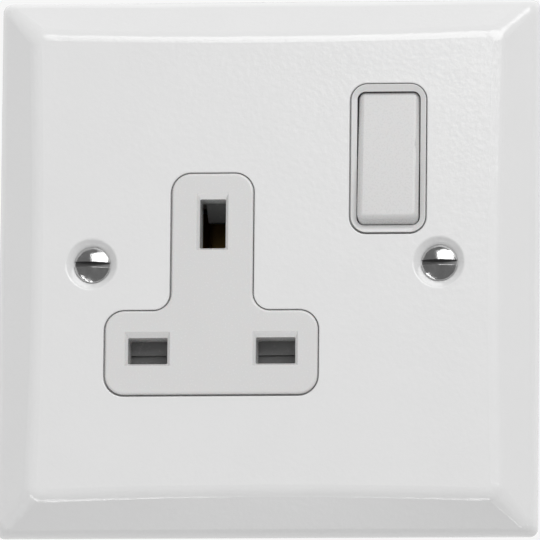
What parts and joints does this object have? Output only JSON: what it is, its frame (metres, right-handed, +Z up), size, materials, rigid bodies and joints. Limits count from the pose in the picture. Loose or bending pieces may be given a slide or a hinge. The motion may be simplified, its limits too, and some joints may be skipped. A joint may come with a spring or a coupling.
{
  "type": "switched socket outlet",
  "caption": "Switched wall socket outlet: bevelled square metal plate, T-shaped insert with shuttered pin slots, rocker switch, and a rear housing with contacts and terminals.",
  "frame": {"origin": "centre of the plate on the wall plane, midway between the fixing screws", "axes": "+X to the right seen from the front, +Y into the wall, +Z up; the face looks along -Y"},
  "size_m": [0.094, 0.0302, 0.094],
  "materials": {
    "powder_coat": "white powder coat, fine orange peel",
    "white_moulding": "white urea moulding, satin",
    "rocker_plastic": "white moulding, satin",
    "housing_plastic": "white moulding, matte",
    "shutter_plastic": "grey nylon",
    "nylon": "natural nylon",
    "chrome_plate": "bright chrome plate",
    "plated_steel": "zinc plate",
    "spring_wire": "spring steel",
    "brass_strip": "rolled",
    "brass_block": "machined",
    "silver": "silver contact face"
  },
  "bodies": {
    "base": {"front_plate": "powder_coat", "front_moulding": "white_moulding", "rear_housing": "housing_plastic", "plate_stud_1": "plated_steel", "plate_stud_2": "plated_steel", "plate_stud_3": "plated_steel", "stud_nut_1": "spring_wire", "stud_nut_2": "spring_wire", "stud_nut_3": "spring_wire", "fixing_screw_left": "chrome_plate", "fixing_screw_right": "chrome_plate", "housing_screw_1": "plated_steel", "housing_screw_2": "plated_steel", "housing_screw_3": "plated_steel", "feed_strip": "brass_strip", "fixed_tip": "silver", "live_contact": "brass_strip", "neutral_contact": "brass_strip", "earth_contact": "brass_strip", "earth_strap": "brass_strip", "live_terminal": "brass_block", "neutral_terminal": "brass_block", "earth_terminal": "brass_block", "live_terminal_screw": "plated_steel", "neutral_terminal_screw": "plated_steel", "earth_terminal_screw": "plated_steel", "shutter_spring": "spring_wire"},
    "rocker": {"rocker": "rocker_plastic", "plunger_spring": "spring_wire"},
    "plunger": {"plunger": "nylon"},
    "moving_contact": {"moving_contact": "brass_strip", "moving_tip": "silver"},
    "shutter": {"shutter": "shutter_plastic"}
  },
  "joints": [
    {"name": "rocker_switch", "type": "hinge", "parent": "base", "child": "rocker", "pos_m": [0.0213, -0.0043, 0.0182], "axis": [1, 0, 0], "range_deg": [0, 12]},
    {"name": "contact_rock", "type": "hinge", "parent": "base", "child": "moving_contact", "pos_m": [0.0213, 0.0072, 0.0182], "axis": [-1, 0, 0], "range_deg": [0, 20]},
    {"name": "plunger_slide", "type": "slide", "parent": "rocker", "child": "plunger", "axis": [0, -0.9945, 0.1045], "range_m": [0, 0.0008], "stiffness_N_per_m": 400, "springref_m": -0.001, "deforming": ["plunger_spring"]},
    {"name": "shutter_lift", "type": "slide", "parent": "base", "child": "shutter", "axis": [0, 0, 1], "range_m": [0, 0.0056], "stiffness_N_per_m": 100, "springref_m": -0.003, "deforming": ["shutter_spring"]}
  ],
  "couplings": [
    {"joint": "contact_rock", "follows": "rocker_switch", "ratio": 1.6667}
  ]
}
